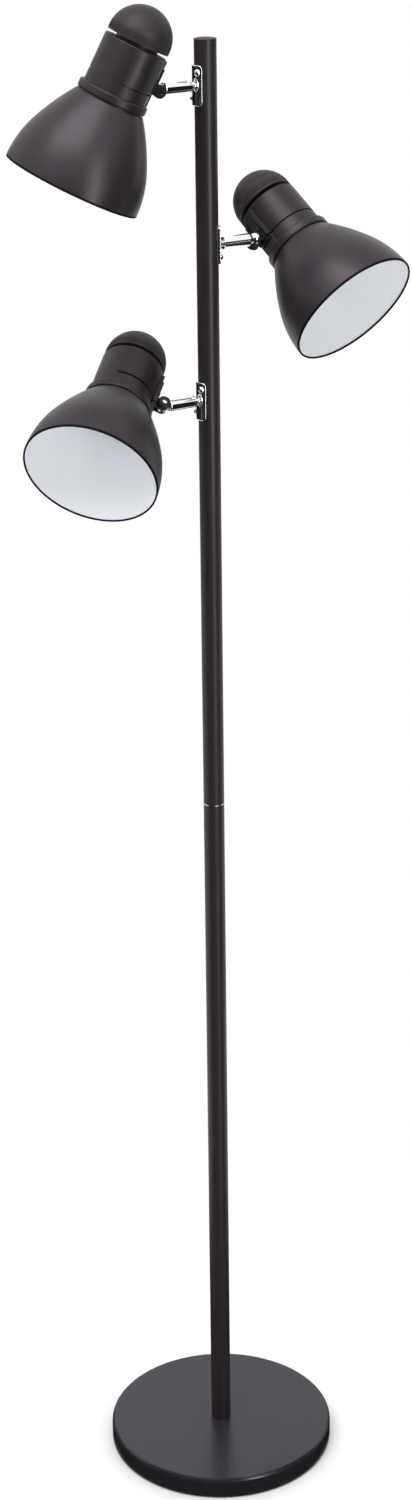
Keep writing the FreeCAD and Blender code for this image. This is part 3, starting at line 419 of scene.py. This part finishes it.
def plated(name, colour, roughness):
    """Plated metal: bright, with faint polishing marks."""
    finish = Finish(name, colour, roughness, Metallic=1.0)
    marks = finish.noise(700.0, detail=4.0, roughness=0.7)
    finish.vary_roughness(marks, roughness, roughness + 0.08)
    waves = finish.noise(90.0, detail=2.0, roughness=0.5)
    finish.bump(waves, distance=0.00002, strength=0.05)
    return finish.material


def make_materials():
    """One material for each slot: its colour, its worn or second colour, its roughness."""
    return {
        "shade_paint": satin_paint(
            "shade_paint", (0.019, 0.0152, 0.0185), (0.030, 0.026, 0.029), 0.38,
        ),
        # painted shade: the hem is the shade's own black paint, drawn far darker and duller here so the rim reads
        # as a black line
        "shade_hem": satin_paint(
            "shade_hem", (0.005, 0.0045, 0.005), (0.009, 0.008, 0.009), 0.6, gloss=0.06,
        ),
        "shade_inside": satin_paint(
            "shade_inside", (0.90, 0.92, 0.95), (0.85, 0.865, 0.895), 0.45, gloss=0.5,
        ),
        "pole_paint": satin_paint(
            "pole_paint", (0.021, 0.0165, 0.0175), (0.031, 0.026, 0.027), 0.36,
        ),
        "pole_cap_plastic": moulded(
            "pole_cap_plastic", (0.022, 0.011, 0.010), (0.032, 0.02, 0.018), 0.45,
        ),
        # the base's paint, with a painted sheen: its faces that look up get a lighter, bluer colour than its sides
        "base_paint": satin_paint(
            "base_paint", (0.0135, 0.012, 0.0145), (0.02, 0.019, 0.021), 0.27,
            depth=0.000012, gloss=0.5, painted_top_sheen=(0.022, 0.0205, 0.027), shine=(0.95, 0.905, 1.0),
        ),
        "housing_plastic": moulded(
            "housing_plastic", (0.0165, 0.0135, 0.0152), (0.026, 0.0225, 0.024), 0.38,
        ),
        "knob_plastic": moulded(
            "knob_plastic", (0.0175, 0.0148, 0.016), (0.028, 0.025, 0.026), 0.5,
        ),
        "fork_paint": satin_paint(
            "fork_paint", (0.010, 0.0095, 0.0095), (0.02, 0.018, 0.018), 0.38,
        ),
        "thumb_nut_plastic": moulded(
            "thumb_nut_plastic", (0.008, 0.0078, 0.008), (0.015, 0.015, 0.015), 0.42,
        ),
        "chrome": plated("chrome", (0.94, 0.945, 0.955), 0.03),
        "zinc_steel": plated("zinc_steel", (0.62, 0.63, 0.65), 0.22),
        "socket_brass": plated("socket_brass", (0.72, 0.55, 0.28), 0.2),
        "holder_white": moulded(
            "holder_white", (0.75, 0.74, 0.7), (0.68, 0.66, 0.62), 0.2, gloss=0.5,
        ),
        "ring_plastic": moulded("ring_plastic", (0.02, 0.02, 0.02), (0.03, 0.03, 0.03), 0.4),
        "cast_iron": satin_paint(
            "cast_iron", (0.10, 0.10, 0.10), (0.16, 0.13, 0.11), 0.7, grain=500.0, depth=0.0002,
        ),
        "pad_rubber": moulded("pad_rubber", (0.02, 0.02, 0.02), (0.035, 0.035, 0.035), 0.8),
        "grommet_rubber": moulded(
            "grommet_rubber", (0.014, 0.014, 0.014), (0.025, 0.025, 0.025), 0.6,
        ),
    }


materials = make_materials()


def dress_nodes():
    """Gives each CAD node the procedural material of its slot."""
    slots = {entry["node"]: entry["material_slot"] for entry in frame["record"]["subparts"]}
    for name, node in nodes.items():
        node.data.materials.clear()
        node.data.materials.append(materials[slots[name]])


# ---------------------------------------------------------------- mesh helpers

# the knob joint's place on the head's axis, above the underside of the flange
KNOB_START = 62.0 * MM
# edges that bend by more than this many degrees stay sharp
SHARP_ANGLE = 35.0


def place_on_head(number):
    """Frame on the head's axis at the underside of its flange, in the row's frame."""
    knob = joints["knob_%d_turn" % number]
    tilt = joints["head_%d_tilt" % number]
    z = Vector(knob["axis"]).normalized()
    y = Vector(tilt["axis"]).normalized()
    x = y.cross(z).normalized()
    y = z.cross(x)
    origin = Vector(knob["pos_m"]) - z * KNOB_START
    return Matrix.Translation(origin) @ Matrix((x, y, z)).transposed().to_4x4()


def finish_object(name, mesh, body, slots, place):
    """Puts a mesh in its place as a smooth object that rides on a body."""
    mesh.transform(place)
    mesh.shade_smooth()
    mesh.set_sharp_from_angle(angle=math.radians(SHARP_ANGLE))
    for slot in slots:
        mesh.materials.append(materials[slot])
    made = bpy.data.objects.new(name, mesh)
    bpy.context.scene.collection.objects.link(made)
    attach(made, body)
    return made


def arc_points(start, finish, radius, count):
    """Points on the minor arc between two (across, up) points, without the first.

    The arc turns left, which is counter-clockwise, on its way.
    """
    a, b = Vector(start), Vector(finish)
    chord = b - a
    reach = math.sqrt(radius ** 2 - (chord.length / 2) ** 2)
    left = Vector((-chord.y, chord.x)).normalized()
    centre = (a + b) / 2 + left * reach
    first = math.atan2(a.y - centre.y, a.x - centre.x)
    last = math.atan2(b.y - centre.y, b.x - centre.x)
    sweep = (last - first) % (2 * math.pi)
    return [
        (centre.x + radius * math.cos(first + sweep * step / count),
         centre.y + radius * math.sin(first + sweep * step / count))
        for step in range(1, count + 1)
    ]


def lathe(name, outline, around):
    """Closed ring of (radius, height, material) points turned round Z."""
    mesh = bpy.data.meshes.new(name)
    work = bmesh.new()
    rings = []
    for across, up, _ in outline:
        ring = []
        for step in range(around):
            angle = 2 * math.pi * step / around
            ring.append(work.verts.new((across * math.cos(angle), across * math.sin(angle), up)))
        rings.append(ring)
    count = len(rings)
    for row in range(count):
        low, high = rings[row], rings[(row + 1) % count]
        for step in range(around):
            turn = (step + 1) % around
            face = work.faces.new((low[step], low[turn], high[turn], high[step]))
            face.material_index = outline[row][2]
    bmesh.ops.recalc_face_normals(work, faces=work.faces)
    work.to_mesh(mesh)
    work.free()
    return mesh


# ---------------------------------------------------------------- shades

# sizes in millimetres; heights are counted from the underside of the housing's flange
SHADE_RIM = 69.0
SHADE_NECK = 34.6
SHADE_DEPTH = 88.0
SHADE_LOWER_ARC = 110.0
SHADE_LOWER_RISE = 45.0
SHADE_WALL = 1.0
SHADE_HOLE = 19.8
SHADE_TOP = -0.05
HEM_WIDTH = 2.0
HEM_HEIGHT = 2.0
# how far above its own height the hem meets the inside of the wall
HEM_LAP = 0.25
# the hem's bead starts at this angle and turns this far round, in degrees
HEM_BEAD_START = 150.0
HEM_BEAD_TURN = 210.0
HEM_BEAD_STEPS = 12
ARC_STEPS = 20
SHADE_AROUND = 192
# the hem's slot carries painted shade: a darker copy of the outside paint
SHADE_SLOTS = ("shade_paint", "shade_inside", "shade_hem")
OUTSIDE, INSIDE, HEM = range(3)


def bell(offset):
    """The bell's profile from rim to neck, moved inward by the offset.

    Two arcs meet without a corner. The lower one has a set radius and rise and leaves
    the rim upright, and the upper one's radius follows from the neck.
    """
    run = math.sqrt(SHADE_LOWER_ARC ** 2 - SHADE_LOWER_RISE ** 2)
    meet = (SHADE_RIM - SHADE_LOWER_ARC + run, SHADE_LOWER_RISE - SHADE_DEPTH)
    across, up = SHADE_NECK - meet[0], SHADE_TOP - meet[1]
    turned = -(across * run + up * SHADE_LOWER_RISE) / SHADE_LOWER_ARC
    upper = (across ** 2 + up ** 2) / (2 * turned)
    out = (run / SHADE_LOWER_ARC, SHADE_LOWER_RISE / SHADE_LOWER_ARC)
    centre = (meet[0] - upper * out[0], meet[1] - upper * out[1])
    top = SHADE_TOP - offset
    fall = top - centre[1]
    neck = (centre[0] + math.sqrt((upper - offset) ** 2 - fall ** 2), top)
    start = (SHADE_RIM - offset, -SHADE_DEPTH)
    middle = (meet[0] - offset * out[0], meet[1] - offset * out[1])
    points = [start]
    points += arc_points(start, middle, SHADE_LOWER_ARC - offset, ARC_STEPS)
    points += arc_points(middle, neck, upper - offset, ARC_STEPS)
    return points


def shade_outline():
    """The shade's section: down the inside, round the hem and up the outside."""
    outer, inner = bell(0.0), bell(SHADE_WALL)
    outline = [(SHADE_HOLE, SHADE_TOP - SHADE_WALL, INSIDE)]
    outline += [(r, z, INSIDE) for r, z in reversed(inner[1:])]
    # the folded hem: a rounded bead that stands a little inside the wall
    outline.append((inner[0][0], HEM_HEIGHT - SHADE_DEPTH + HEM_LAP, HEM))
    bead = (SHADE_RIM - HEM_WIDTH / 2, HEM_WIDTH / 2 - SHADE_DEPTH)
    for step in range(HEM_BEAD_STEPS + 1):
        angle = math.radians(HEM_BEAD_START + HEM_BEAD_TURN * step / HEM_BEAD_STEPS)
        outline.append((
            bead[0] + HEM_WIDTH / 2 * math.cos(angle),
            bead[1] + HEM_WIDTH / 2 * math.sin(angle), HEM,
        ))
    outline += [(r, z, OUTSIDE) for r, z in outer[1:]]
    outline.append((SHADE_HOLE, SHADE_TOP, INSIDE))
    return [(r * MM, z * MM, slot) for r, z, slot in outline]


def make_shade(number):
    """Spun bell, black outside and white inside, with a rounded rim."""
    name = "shade_skin_%d" % number
    mesh = lathe(name, shade_outline(), SHADE_AROUND)
    made = finish_object(name, mesh, "head_%d" % number, SHADE_SLOTS, place_on_head(number))
    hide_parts("shade_%d" % number)


# ---------------------------------------------------------------- the scene

make_camera()
make_world()
make_floor()
make_dark_card()
make_lights()
dress_nodes()
for number in HEADS:
    make_shade(number)

bpy.context.scene.view_settings.view_transform = "Standard"
bpy.context.view_layer.update()
